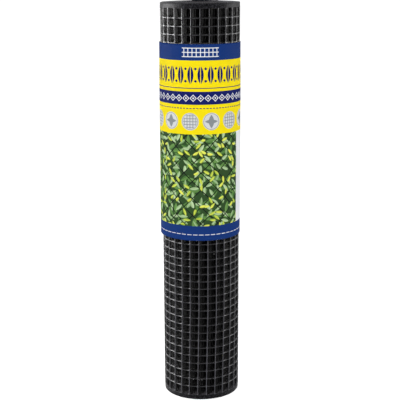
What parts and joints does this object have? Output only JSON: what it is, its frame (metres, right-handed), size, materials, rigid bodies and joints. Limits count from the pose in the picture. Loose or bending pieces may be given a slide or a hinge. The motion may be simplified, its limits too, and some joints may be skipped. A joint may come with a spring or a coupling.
{
  "type": "roll of plastic hardware netting",
  "caption": "Upright roll of black square-mesh plastic netting with solid edge bands, wound round an open bore and kept closed by a printed paper sleeve.",
  "frame": {"origin": "centre of the roll's axis on the surface it stands on", "axes": "+Z along the axis of the roll, upwards; -Y towards the pictured front"},
  "size_m": [0.1246, 0.1234, 0.612],
  "materials": {
    "net": "extruded black polyethylene, satin, slightly uneven along the strands",
    "printed_paper": "coated paper printed in blue, yellow and greens, semi-gloss"
  },
  "bodies": {
    "root": {"net_roll": "net", "label_sleeve": "printed_paper"}
  },
  "joints": []
}
